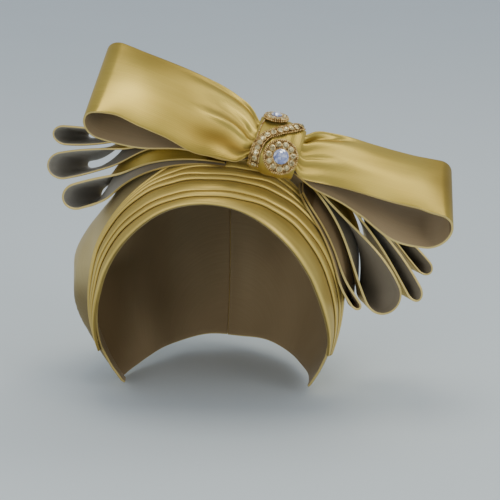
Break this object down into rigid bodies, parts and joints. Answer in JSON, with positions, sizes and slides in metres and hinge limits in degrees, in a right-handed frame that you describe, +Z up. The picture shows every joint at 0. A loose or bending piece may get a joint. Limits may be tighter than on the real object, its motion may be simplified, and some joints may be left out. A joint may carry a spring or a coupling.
{
  "type": "tied gele head tie",
  "caption": "Gele head tie of stiff gold satin, open below for the head, with a pleated brow, a wide bow, fans of folded loops and a knot trimmed with cut stones.",
  "frame": {"origin": "the seat on the crown of the head, where the inside of the cap rests", "axes": "+Z up through the crown, the brow faces -Y, +X is the side where the bow and the fans hang lower"},
  "size_m": [0.2294, 0.1787, 0.2107],
  "materials": {
    "satin_bow": "stiff olive-gold satin with a soft sheen",
    "satin_cap": "stiff olive-gold satin with a soft sheen",
    "satin_fan": "stiff olive-gold satin with a soft sheen",
    "satin_knot": "stiff olive-gold satin with a soft sheen",
    "satin_pleats": "stiff olive-gold satin with a soft sheen",
    "jewel_setting": "warm gold setting holding clear cut stones"
  },
  "bodies": {
    "root": {"bow_loop_left": "satin_bow", "bow_loop_right": "satin_bow", "brow_pleats": "satin_pleats", "crown_cap": "satin_cap", "fan_loop_left_1": "satin_fan", "fan_loop_left_2": "satin_fan", "fan_loop_left_3": "satin_fan", "fan_loop_right_1": "satin_fan", "fan_loop_right_2": "satin_fan", "fan_loop_right_3": "satin_fan", "fan_loop_right_4": "satin_fan", "knot_wrap": "satin_knot", "medallion_front": "jewel_setting", "medallion_top": "jewel_setting", "rhinestone_trim": "jewel_setting"}
  },
  "joints": []
}
